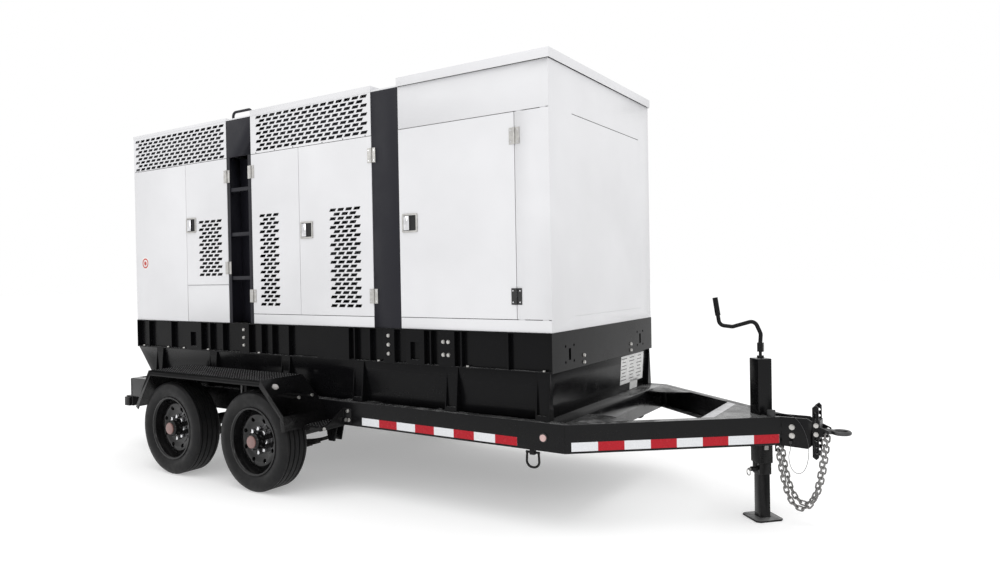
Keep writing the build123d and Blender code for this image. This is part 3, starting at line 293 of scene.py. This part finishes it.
def bare_metal(name, colour, roughness, scratch=90.0, depth=0.00003):
    """Plated or bare steel with cloudy gloss and fine scratches."""
    s = Shader(name)
    tone = s.between(s.noise(28.0, 6.0, 0.65), 0.35, 0.7)
    s.colour(s.blend(tone, colour, darker(colour, 0.72)))
    s.set(Metallic=1.0)
    s.rough(roughness[0], roughness[1], 40.0)
    s.bump(s.noise(scratch, 6.0, 0.7, s.stretched((1.0, 1.0, 6.0))), depth)
    return s.material


def tyre_rubber(name):
    """Matte black rubber with fine grain and patches of dust."""
    s = Shader(name)
    grain = s.noise(160.0, 6.0, 0.7)
    dust = s.between(s.noise(14.0, 8.0, 0.7), 0.45, 0.8, 0.0, 0.35)
    s.colour(s.blend(dust, (0.006, 0.006, 0.0065), (0.022, 0.021, 0.020)))
    s.rough(0.4, 0.6, 25.0)
    s.set(Specular_IOR_Level=0.2)
    s.bump(grain, 0.0003)
    return s.material


def reflective(name, along, start):
    """Alternating white and red reflective cells with a fine honeycomb.

    along is the strip's direction, and start the distance along it at which the first cell begins.
    """
    fineness = 330.0
    pair = 2 * TAPE_CELL
    s = Shader(name)
    direction = s.node("ShaderNodeVectorMath")
    direction.operation = "DOT_PRODUCT"
    s.link(s.place, direction.inputs[0])
    direction.inputs[1].default_value = along
    distance = s.maths("SUBTRACT", direction.outputs["Value"], start)
    positive = s.maths("ADD", distance, 12 * pair)
    phase = s.maths("MODULO", positive, pair)
    is_red = s.maths("GREATER_THAN", phase, TAPE_CELL)
    comb = s.between(s.cells(fineness), 0.1, 0.6, 0.0, 1.0)
    white = s.blend(comb, (0.80, 0.81, 0.82), (0.62, 0.63, 0.65))
    red = s.blend(comb, (0.50, 0.010, 0.022), (0.34, 0.006, 0.014))
    s.colour(s.blend(is_red, white, red))
    s.rough(0.18, 0.32, 30.0)
    s.set(Specular_IOR_Level=0.2)
    s.bump(s.cells(fineness), 0.00025)
    return s.material


def plastic(name, colour, roughness, coat=0.0, grain=0.00006):
    """Moulded plastic with a fine texture."""
    s = Shader(name)
    tone = s.between(s.noise(30.0, 5.0), 0.3, 0.7)
    s.colour(s.blend(tone, colour, darker(colour, 0.8)))
    s.rough(roughness[0], roughness[1], 30.0)
    s.bump(s.noise(500.0, 3.0), grain)
    if coat:
        s.set(Coat_Weight=coat, Coat_Roughness=0.05)
    return s.material


def cast_metal(name, colour):
    """Rough painted casting."""
    s = Shader(name)
    tone = s.between(s.noise(12.0, 8.0, 0.7), 0.35, 0.7)
    s.colour(s.blend(tone, colour, darker(colour, 0.6)))
    s.rough(0.45, 0.7, 20.0)
    s.bump(s.noise(180.0, 6.0, 0.7), 0.0006)
    return s.material


# Paints: colour, roughness from and to.
white_paint = painted("white_paint", (0.70, 0.70, 0.715), (0.3, 0.42), shine=0.3)
charcoal_paint = painted("charcoal_paint", (0.012, 0.012, 0.017), (0.4, 0.55), shine=0.22)
# black_paint, frame_paint and tread_paint carry the painted highlight on their upward faces.
black_paint = painted(
    "black_paint", (0.0035, 0.0035, 0.004), (0.16, 0.3),
    shine=0.1, dust=0.02, dust_top=0.8, top_sheen=0.5,
)
fender_paint = painted(
    "fender_paint", (0.0045, 0.0045, 0.005), (0.16, 0.3), shine=0.16, dust=0.03,
)
frame_paint = painted(
    "frame_paint", (0.004, 0.004, 0.0045), (0.16, 0.3),
    shine=0.16, dust=0.03, dust_top=0.6, top_sheen=0.6,
)
# tread_paint's grey, lighter than the fender paint, stands partly for worn paint on the teeth and
# partly for painted highlight on them.
tread_paint = painted("tread_paint", (0.035, 0.035, 0.036), (0.25, 0.4), shine=0.4, top_sheen=0.35)
axle_paint = painted(
    "axle_paint", (0.006, 0.006, 0.0065), (0.45, 0.65), shine=0.2, dust=0.1, dust_top=0.6,
)
rim_paint = painted(
    "rim_paint", (0.004, 0.004, 0.0045), (0.1, 0.2), shine=0.3, dust=0.02, dust_top=0.6,
)
# Near-black and matte: painted shade on the latch pockets and in the front seam; also the colour of
# the seam screws.
dark_void = painted("dark_void", (0.004, 0.004, 0.0045), (0.6, 0.8))

# Metals: colour, roughness from and to, then the scratches' fineness and depth.
zinc = bare_metal("zinc", (0.55, 0.54, 0.52), (0.28, 0.48))
chain_steel = bare_metal("chain_steel", (0.22, 0.215, 0.21), (0.15, 0.35), 120.0, 0.0002)
chrome = bare_metal("chrome", (0.78, 0.78, 0.80), (0.08, 0.2), 140.0, 0.00001)
spring_steel = bare_metal("spring_steel", (0.07, 0.068, 0.066), (0.45, 0.7), 60.0, 0.0002)
forged = bare_metal("forged", (0.09, 0.09, 0.092), (0.35, 0.55), 50.0, 0.0002)
galvanised = bare_metal("galvanised", (0.66, 0.66, 0.67), (0.4, 0.6), 70.0, 0.00005)
alloy = bare_metal("alloy", (0.55, 0.56, 0.57), (0.35, 0.55))
engine_paint = cast_metal("engine_paint", (0.16, 0.17, 0.18))
alternator_paint = cast_metal("alternator_paint", (0.05, 0.07, 0.09))

# Rubber, plastics and printed sheets.
FINE_GRAIN = 0.00002
rubber = tyre_rubber("tyre_rubber")
lamp_red = plastic("lamp_red", (0.40, 0.02, 0.015), (0.08, 0.2), coat=1.0)
lamp_pink = plastic("lamp_pink", (0.55, 0.36, 0.34), (0.08, 0.2), coat=1.0)
lamp_clear = plastic("lamp_clear", (0.45, 0.43, 0.42), (0.08, 0.2), coat=1.0)
hub_window = plastic("hub_window", (0.20, 0.10, 0.09), (0.12, 0.25), coat=0.5)
black_plastic = plastic("black_plastic", (0.015, 0.015, 0.016), (0.4, 0.6))
cable_sheath = plastic("cable_sheath", (0.03, 0.03, 0.032), (0.35, 0.5))
label_white = plastic("label_white", (0.78, 0.78, 0.77), (0.4, 0.55), grain=FINE_GRAIN)
label_grey = plastic("label_grey", (0.12, 0.12, 0.12), (0.4, 0.55), grain=FINE_GRAIN)
decal_red = plastic("decal_red", (0.55, 0.05, 0.03), (0.3, 0.45), grain=FINE_GRAIN)


# ---------------------------------------------------------------- finishing the CAD nodes
def finish_node(name, *materials, edge=0.0015, segments=2):
    """Gives a CAD node its materials and, unless edge is 0, lightly rounded edges."""
    node = nodes[name]
    node.data.materials.clear()
    for material in materials:
        node.data.materials.append(material)
    for face in node.data.polygons:
        face.material_index = 0
    if edge:
        for face in node.data.polygons:
            face.use_smooth = True
        weld = node.modifiers.new("weld", "WELD")
        weld.merge_threshold = 0.00002
        bevel = node.modifiers.new("edges", "BEVEL")
        bevel.width = edge
        bevel.segments = segments
        bevel.limit_method = "ANGLE"
        bevel.angle_limit = math.radians(35)
        bevel.harden_normals = True
    return node


def repaint(node, index, inside):
    """Moves the faces whose centre passes a test to another of the node's materials."""
    for face in node.data.polygons:
        if inside(face.center):
            face.material_index = index


def finish_frame():
    """Trailer frame, running gear and coupler."""
    for name in ("side_rails", "tongue_rails"):
        finish_node(name, frame_paint, edge=0.003, segments=3)
    finish_node("rear_bumper", frame_paint, edge=0.003)
    members = finish_node("cross_members", frame_paint, galvanised, edge=0.002)
    repaint(members, 1, lambda c: CROSS_BAR_X[0] < c.x < CROSS_BAR_X[1])
    for name in ("coupler_plates", "hitch_channel", "tie_down_brackets", "spring_hangers"):
        finish_node(name, frame_paint)
    finish_node("axles", axle_paint)
    finish_node("leaf_springs", spring_steel)
    finish_node("towing_eye", forged, edge=0.0)
    for side in ("right", "left"):
        finish_node(f"tie_down_ring_{side}", frame_paint, edge=0.0)
    finish_node("safety_chains", chain_steel, edge=0.0)
    finish_node("breakaway_switch", black_plastic, edge=0.003)
    for name in ("jack_outer_tube", "jack_ram", "jack_drop_leg"):
        finish_node(name, frame_paint, edge=0.004, segments=3)
    finish_node("jack_pull_pin", zinc, edge=0.0)
    finish_node("jack_crank", frame_paint, edge=0.0)
    finish_node("fenders", fender_paint, edge=0.002)
    finish_node("steps", fender_paint, edge=0.002)
    finish_node("bolt_heads", zinc, edge=0.0008)


def finish_tape():
    """Reflective tape: each strip's cells run from its rear end."""
    node = finish_node("reflective_tape", edge=0.0)
    low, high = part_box("reflective_tape")
    bend_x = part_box("side_rails")[1].x
    half_width = high.y
    tongue = (math.cos(TONGUE_ANGLE), math.sin(TONGUE_ANGLE))
    start_x = bend_x + TONGUE_TAPE_START * tongue[0]
    start_y = half_width - TONGUE_TAPE_START * tongue[1]
    tongue_start = start_x * tongue[0] - start_y * tongue[1]
    strips = (
        ("tape_side", (1.0, 0.0, 0.0), low.x),
        ("tape_tongue_right", (tongue[0], tongue[1], 0.0), tongue_start),
        ("tape_tongue_left", (tongue[0], -tongue[1], 0.0), tongue_start),
    )
    for name, along, start in strips:
        node.data.materials.append(reflective(name, along, start))
    for face in node.data.polygons:
        if face.center.x > bend_x:
            face.material_index = 1 if face.center.y < 0 else 2


def finish_wheels():
    """Black rims with plated lug nuts, and ribbed tyres."""
    for row in ("front", "rear"):
        for side, sign in (("right", -1), ("left", 1)):
            rim = finish_node(f"wheel_{row}_{side}", rim_paint, chrome, edge=0.0012)
            low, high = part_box(f"wheel_{row}_{side}")
            centre = (low + high) / 2
            repaint(rim, 1, lambda c, o=centre: is_lug_nut(c, o))
            finish_node(f"tyre_{row}_{side}", rubber, edge=0.0)
            add_hub_cap(f"{row}_{side}", centre, sign)


def is_lug_nut(point, centre):
    """True on the ring of lug nuts in front of the wheel's disc."""
    outward = abs(point.y) - abs(centre.y)
    from_axis = math.hypot(point.x - centre.x, point.z - centre.z)
    return 0.0265 < outward < 0.06 and 0.066 < from_axis < 0.102


def finish_enclosure():
    """Generator housing: white sheet, charcoal pillars, black skid and tank."""
    for name in ("side_walls", "end_walls", "roof_caps"):
        finish_node(name, white_paint, edge=0.0012)
    finish_node("mesh_grilles", white_paint, edge=0.0)
    finish_node("pillars_and_ladder", charcoal_paint, edge=0.0012)
    finish_node("skid_base", black_paint, edge=0.0)
    finish_node("fuel_tank", black_paint, edge=0.003)
    fixed = finish_node("wall_hinges", zinc, black_plastic, edge=0.0)
    repaint(fixed, 1, is_dark_hinge)
    sheet_face = SIDE_Y + 0.0002
    for name, node in nodes.items():
        if name.startswith("door_"):
            finish_node(name, white_paint, zinc, black_plastic, edge=0.0)
            repaint(node, 1, lambda c: abs(c.y) > sheet_face)
            repaint(node, 2, lambda c: abs(c.y) > sheet_face and is_dark_hinge(c))
        if name.startswith("latch_"):
            finish_node(name, chrome, edge=0.0008)
    finish_node("engine", engine_paint, edge=0.004)
    finish_node("alternator", alternator_paint, edge=0.004)
    finish_node("cooling_fan", black_plastic, edge=0.0)
    finish_node("radiator", alloy, edge=0.002)
    finish_node("silencer", alloy, edge=0.002)
    finish_node("control_panel", white_paint, edge=0.002)
    finish_lights()


def is_dark_hinge(point):
    """True on the lower hinge of the right front door, which is black."""
    return point.y < 0 and point.x > HINGES[0][0] - 0.06 and point.z < 1.6


def finish_lights():
    """Red tail lamps; round side lamps with a black bezel and a pale lens."""
    lamps = finish_node("marker_lights", lamp_red, black_plastic, lamp_pink, lamp_clear, edge=0.0)
    rail_lamp_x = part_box("marker_lights")[1].x - RAIL_LAMP_RADIUS
    tail_lamps_x = -2.0         # only the tail lamps are behind this
    for face in lamps.data.polygons:
        spot = face.center
        if spot.x > rail_lamp_x - 2 * RAIL_LAMP_RADIUS:
            from_axis = math.hypot(spot.x - rail_lamp_x, spot.z - RAIL_LAMP_Z)
            face.material_index = 1 if from_axis > RAIL_LENS_RADIUS else 2
        elif spot.x > tail_lamps_x:
            face.material_index = 3


# ---------------------------------------------------------------- pieces added for the looks
def mesh_object(name, points, faces, material, body="trailer"):
    """New mesh in the row frame, riding on a body."""
    mesh = bpy.data.meshes.new(name)
    mesh.from_pydata(points, [], faces)
    mesh.materials.append(material)
    mesh.update()
    piece = bpy.data.objects.new(name, mesh)
    bpy.context.scene.collection.objects.link(piece)
    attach(piece, body)
    return piece


def box_faces(first):
    """The six faces of a box whose eight corners start at an index."""
    quads = ((0, 3, 2, 1), (4, 5, 6, 7), (0, 1, 5, 4), (1, 2, 6, 5), (2, 3, 7, 6), (3, 0, 4, 7))
    return [tuple(first + corner for corner in quad) for quad in quads]


def slab_points(centre, axes, size, taper=0.0):
    """Corners of a box given its centre, three axes and three sizes; taper narrows its top."""
    points = []
    for level in (-0.5, 0.5):
        shrink = 1.0 - taper if level > 0 else 1.0
        for a, b in ((-0.5, -0.5), (0.5, -0.5), (0.5, 0.5), (-0.5, 0.5)):
            points.append(
                centre + axes[0] * a * size[0] * shrink + axes[1] * b * size[1] * shrink
                + axes[2] * level * size[2]
            )
    return points


def many_slabs(name, slabs, material, body="trailer"):
    """One mesh of several boxes: each is (centre, axes, size, taper)."""
    points, faces = [], []
    for centre, axes, size, taper in slabs:
        faces += box_faces(len(points))
        points += slab_points(Vector(centre), axes, size, taper)
    mesh_object(name, points, faces, material, body)


def tread(name, corner, sign, length, width):
    """Serrated tread: rows of small raised teeth, from an inner rear corner forwards and outwards."""
    tooth, tooth_taper, sink = (0.007, 0.013, 0.003), 0.35, 0.0005
    row_pitch, column_pitch = 0.026, 0.021
    rows, columns = int(length / row_pitch), int(width / column_pitch)
    axes = (Vector((1, 0, 0)), Vector((0, sign, 0)), Vector((0, 0, 1)))
    slabs = []
    for row in range(rows):
        for column in range(columns):
            spot = (
                Vector(corner)
                + axes[0] * (row + 0.5) * length / rows
                + axes[1] * (column + 0.5) * width / columns
                + axes[2] * (tooth[2] / 2 - sink)
            )
            slabs.append((spot, axes, tooth, tooth_taper))
    many_slabs(name, slabs, tread_paint)


def add_treads():
    """Serrated tops of the fenders and the steps, on both sides."""
    top_front, top_rear, top_margin = back(1.999), back(3.286), 0.01
    fender_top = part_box("fenders")[1]
    fender_inner = fender_top.y - 0.361
    step_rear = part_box("steps")[0].x + 0.006
    step_inner, step_top = 0.846, 0.480
    for side, sign in (("right", -1), ("left", 1)):
        tread(
            f"fender_tread_{side}", (top_rear + top_margin, sign * fender_inner, fender_top.z),
            sign, length=top_front - top_rear - 2 * top_margin, width=0.345,
        )
        tread(
            f"step_tread_{side}", (step_rear, sign * step_inner, step_top),
            sign, length=0.150, width=0.208,
        )


def lathe(name, outline, place, turn, material, body="trailer"):
    """Solid of revolution: outline is (radius, height) points along the local axis."""
    steps = 40
    points, faces = [], []
    for radius, height in outline:
        for step in range(steps):
            angle = 2 * math.pi * step / steps
            spot = Vector((radius * math.cos(angle), radius * math.sin(angle), height))
            points.append(place + turn @ spot)
    rings = len(outline)
    for ring in range(rings - 1):
        for step in range(steps):
            after = (step + 1) % steps
            faces.append((
                ring * steps + step, ring * steps + after,
                (ring + 1) * steps + after, (ring + 1) * steps + step,
            ))
    faces.append(tuple(reversed(range(steps))))
    faces.append(tuple((rings - 1) * steps + step for step in range(steps)))
    piece = mesh_object(name, points, faces, material, body)
    for face in piece.data.polygons:
        face.use_smooth = True
    piece.data.set_sharp_from_angle(angle=math.radians(35))


def add_hub_cap(label, centre, sign):
    """Red-brown window of the hub's oil cap; its axis points outwards."""
    hub_reach = 0.095           # from the wheel's middle out to the hub's face
    turn = Matrix.Rotation(math.radians(-90 * sign), 3, "X")
    place = Vector((centre.x, sign * (abs(centre.y) + hub_reach), centre.z))
    outline = ((0.044, -0.006), (0.044, 0.004), (0.040, 0.0075), (0.030, 0.0085))
    lathe(f"hub_window_{label}", outline, place, turn, hub_window, f"wheel_{label}")


def add_latch_recesses():
    """Dark sheet behind each paddle: painted shade in the latch's pocket."""
    for name in list(nodes):
        if not name.startswith("latch_"):
            continue
        low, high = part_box(name)
        sign = 1 if high.y > 0 else -1
        _, place, side = name.split("_")
        door = {"rear": "door_rear", "middle": "door_middle_front", "front": "door_front"}[place]
        thickness = 0.001
        centre = (
            (low.x + high.x) / 2 + PADDLE_TO_POCKET,
            sign * (SIDE_Y + 0.6 * thickness),
            (low.z + high.z) / 2,
        )
        size = (LATCH_POCKET[0], thickness, LATCH_POCKET[1])
        many_slabs(f"{name}_pocket", [(centre, UPRIGHT, size, 0.0)], dark_void, f"{door}_{side}")


def screw_head(x, y, z, out, radius, height):
    """Twelve-sided flat screw head on a side sheet, as points and faces."""
    count = 12
    points = []
    for lift in (0.0, height):
        for step in range(count):
            angle = 2 * math.pi * step / count
            points.append((x + radius * math.cos(angle), y + out * lift, z + radius * math.sin(angle)))
    sides = []
    for step in range(count):
        after = (step + 1) % count
        sides.append((step, after, count + after, count + step))
    return points, [*sides, tuple(range(count)), tuple(range(count, 2 * count))]


def many_screws(name, spots, material, body="trailer"):
    """One mesh of several screw heads: each is (x, y, z, outward sign, radius, height)."""
    points, faces = [], []
    for spot in spots:
        head, sides = screw_head(*spot)
        faces += [tuple(len(points) + corner for corner in side) for side in sides]
        points += head
    mesh_object(name, points, faces, material, body)


def add_screws():
    """Two screws in each hinge leaf, and a row of small ones under the mesh bands."""
    from_line, from_middle = 0.024, 0.034
    leaf_screw, seam_screw = (0.0045, 0.0016), (0.004, 0.0015)
    stations = (1.406, 1.615, 1.815, 2.115, 2.310, 2.520, 2.920, 3.190, 3.471, 3.761, 4.060)
    for side, out in (("right", -1), ("left", 1)):
        leaf_y = out * (SIDE_Y + HINGE_LEAF)
        fixed = []
        for x, door, towards, heights in HINGES:
            if f"{door}_{side}" not in nodes:
                continue
            moving = []
            for hinge_z in heights:
                for z in (hinge_z - from_middle, hinge_z + from_middle):
                    moving.append((x + towards * from_line, leaf_y, z, out, *leaf_screw))
                    fixed.append((x - towards * from_line, leaf_y, z, out, *leaf_screw))
            many_screws(f"{door}_{side}_screws", moving, chrome, f"{door}_{side}")
        many_screws(f"hinge_screws_{side}", fixed, chrome)
        seam = [(back(at), out * SIDE_Y, SEAM_SCREW_Z, out, *seam_screw) for at in stations]
        many_screws(f"seam_screws_{side}", seam, dark_void)


def add_sticker():
    """Plain round sticker on the rear wall: a red ring and dot on white."""
    turn = Matrix.Rotation(math.radians(90), 3, "X")
    place = Vector((back(3.993), -SIDE_Y, 1.616))
    rounds = (
        (0.055, 0.0004, label_white),
        (0.043, 0.0007, decal_red),
        (0.031, 0.0010, label_white),
        (0.017, 0.0013, decal_red),
    )
    for radius, lift, material in rounds:
        outline = ((radius, 0.0), (radius, lift))
        lathe(f"sticker_{round(radius * 1000)}", outline, place, turn, material)


def add_front_seam_shade():
    """Dark strip in the upper seam of the front wall: painted shade in the seam."""
    seam_middle_y, seam_z, depth = 0.046, 2.432, 0.0009
    spot = (back(depth), seam_middle_y, seam_z)
    many_slabs("front_seam_shade", [(spot, UPRIGHT, (0.0005, 1.07, 0.0038), 0.0)], dark_void)


def add_jack_nut():
    """Square nut on the jack tube's front right face, below the rail."""
    outward = Vector((1, -1, 0)).normalized()
    axes = (Vector((1, 1, 0)).normalized(), Vector((0, 0, 1)), outward)
    axis_point = Vector((JACK_X, 0, 0.425))
    below_rail = [
        corner.co for corner in nodes["jack_outer_tube"].data.vertices if corner.co.z < 0.5
    ]
    half_width = max((point - axis_point).dot(outward) for point in below_rail)
    size, taper = (0.026, 0.026, 0.008), 0.08
    spot = axis_point + outward * (half_width + size[2] / 2)
    many_slabs("jack_nut", [(spot, axes, size, taper)], zinc)


def add_labels():
    """Plain label sheets on the tank's sloping front, with bars where print would be."""
    slope = math.atan2(0.018, 0.274)
    normal = Vector((math.cos(slope), 0, -math.sin(slope)))
    upward = Vector((math.sin(slope), 0, math.cos(slope)))
    axes = (Vector((0, 1, 0)), upward, normal)
    foot = Vector((back(0.046), 0, 0.618))

    def on_tank(y, z, lift):
        """Point at a height on the tank's front, lifted off it."""
        return foot + upward * ((z - foot.z) / upward.z) + Vector((0, y, 0)) + normal * lift

    sheet_lift, bar_lift = 0.0004, 0.0009
    sheets = [
        (on_tank(0.49, 0.775, sheet_lift), axes, (0.42, 0.20, 0.0006), 0.0),
        (on_tank(0.53, 0.656, sheet_lift), axes, (0.14, 0.07, 0.0006), 0.0),
    ]
    many_slabs("tank_labels", sheets, label_white)
    bars = []
    for column in range(3):
        for line in range(7):
            width = 0.10 - 0.02 * ((line * 2 + column) % 3)
            spot = on_tank(0.335 + column * 0.14, 0.855 - line * 0.025, bar_lift)
            bars.append((spot, axes, (width, 0.006, 0.0004), 0.0))
    many_slabs("tank_label_bars", bars, label_grey)


def add_breakaway_cable():
    """Thin sheathed cable looping from the switch box down and back to the coupler."""
    start_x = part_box("breakaway_switch")[0].x + 0.044
    cable_y = -0.064
    # Distance ahead of the start, and height above the ground, in millimetres.
    route = (
        (0, 640), (46, 640), (90, 634), (127, 606), (153, 562), (171, 512), (180, 459), (178, 405),
        (168, 352), (147, 312), (115, 300), (87, 322), (74, 362), (71, 404), (82, 436), (82, 470),
    )
    points = [Vector((start_x + ahead / 1000, cable_y, z / 1000)) for ahead, z in route]
    curve = bpy.data.curves.new("breakaway_cable_line", "CURVE")
    curve.dimensions = "3D"
    curve.bevel_depth = 0.0016
    curve.bevel_resolution = 3
    curve.resolution_u = 12
    curve.use_fill_caps = True
    spline = curve.splines.new("NURBS")
    spline.points.add(len(points) - 1)
    for control, point in zip(spline.points, points):
        control.co = (*point, 1.0)
    spline.order_u = 3
    spline.use_endpoint_u = True
    curve.materials.append(cable_sheath)
    cable = bpy.data.objects.new("breakaway_cable_line", curve)
    bpy.context.scene.collection.objects.link(cable)
    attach(cable, "trailer")
    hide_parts("breakaway_cable")


# ---------------------------------------------------------------- the scene
build_studio()
place_camera()
finish_frame()
finish_tape()
finish_enclosure()
finish_wheels()
add_treads()
add_latch_recesses()
add_labels()
add_screws()
add_sticker()
add_front_seam_shade()
add_jack_nut()
add_breakaway_cable()
